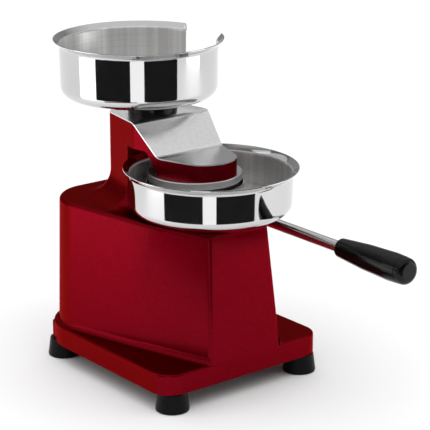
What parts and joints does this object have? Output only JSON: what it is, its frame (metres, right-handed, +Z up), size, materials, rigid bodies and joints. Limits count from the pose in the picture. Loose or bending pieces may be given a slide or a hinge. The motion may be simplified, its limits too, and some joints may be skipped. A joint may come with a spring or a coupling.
{
  "type": "hamburger patty press",
  "caption": "Table-top lever press for meat patties: cast body on rubber feet, overhead arm, turning steel bowl with mould and piston, tray bowl above, side lever.",
  "frame": {"origin": "on the floor under the turning bowl's axis, which is the middle of the whole part's box", "axes": "+Z up, -Y towards the operator, +X to the lever's side"},
  "size_m": [0.207, 0.4203, 0.3431],
  "materials": {
    "red_paint": "cast aluminium under metallic deep red paint",
    "stainless": "polished outside, satin inside",
    "polished_aluminium": "turned and polished",
    "screw_steel": "zinc plated",
    "machined_steel": "machined",
    "spring_steel": "drawn wire, lightly oiled",
    "bronze": "sintered bearing bronze",
    "chrome": "bright chrome",
    "nylon": "natural nylon",
    "black_plastic": "moulded, glossy",
    "rubber": "moulded rubber, matt"
  },
  "bodies": {
    "frame": {"cast_body": "red_paint", "arm_cover_plate": "stainless", "cover_screws": "screw_steel", "press_disc": "polished_aluminium", "press_disc_screws": "screw_steel", "upper_bowl": "stainless", "upper_bowl_spacer": "black_plastic", "upper_bowl_screws": "screw_steel", "thrust_ring": "nylon", "stop_screw": "screw_steel", "plunger_guide_bush": "bronze", "shaft_bush_right": "bronze", "shaft_bush_left": "bronze", "foot_front_left": "rubber", "foot_front_right": "rubber", "foot_rear_left": "rubber", "foot_rear_right": "rubber", "foot_screws": "screw_steel"},
    "turning_bowl": {"turntable": "polished_aluminium", "stem_bush": "bronze", "lower_bowl": "stainless", "lower_bowl_screws": "screw_steel", "mould_ring": "stainless"},
    "piston": {"mould_piston": "polished_aluminium", "piston_stem": "chrome", "stem_pad": "nylon"},
    "plunger": {"plunger_rod": "chrome", "lift_plate": "machined_steel", "lift_plate_screw": "screw_steel", "yoke": "machined_steel", "yoke_pin": "screw_steel", "spring_washer": "machined_steel", "plunger_nut": "screw_steel", "return_spring": "spring_steel"},
    "lever": {"lever_shaft": "machined_steel", "shaft_collars": "machined_steel", "collar_screws": "screw_steel", "crank_fork": "machined_steel", "crank_key_pin": "screw_steel", "crank_pin": "chrome", "crank_roller": "bronze", "lever_hub": "machined_steel", "hub_pin": "screw_steel", "lever_rod": "chrome", "grip": "black_plastic", "grip_end_cap": "black_plastic"}
  },
  "joints": [
    {"name": "lever_swing", "type": "hinge", "parent": "frame", "child": "lever", "pos_m": [0, 0.05, 0.1545], "axis": [1, 0, 0], "range_deg": [0, 30]},
    {"name": "plunger_lift", "type": "slide", "parent": "frame", "child": "plunger", "axis": [0, 0, 1], "range_m": [0, 0.022], "stiffness_N_per_m": 1500, "springref_m": -0.02, "deforming": ["return_spring"]},
    {"name": "bowl_turn", "type": "hinge", "parent": "frame", "child": "turning_bowl", "pos_m": [0, 0, 0.179], "axis": [0, 0, 1], "range_deg": [0, 180]},
    {"name": "piston_lift", "type": "slide", "parent": "turning_bowl", "child": "piston", "axis": [0, 0, 1], "range_m": [0, 0.022]}
  ],
  "couplings": [
    {"joint": "plunger_lift", "follows": "lever_swing", "m_per_rad": 0.042016},
    {"joint": "piston_lift", "follows": "lever_swing", "m_per_rad": 0.042016}
  ]
}
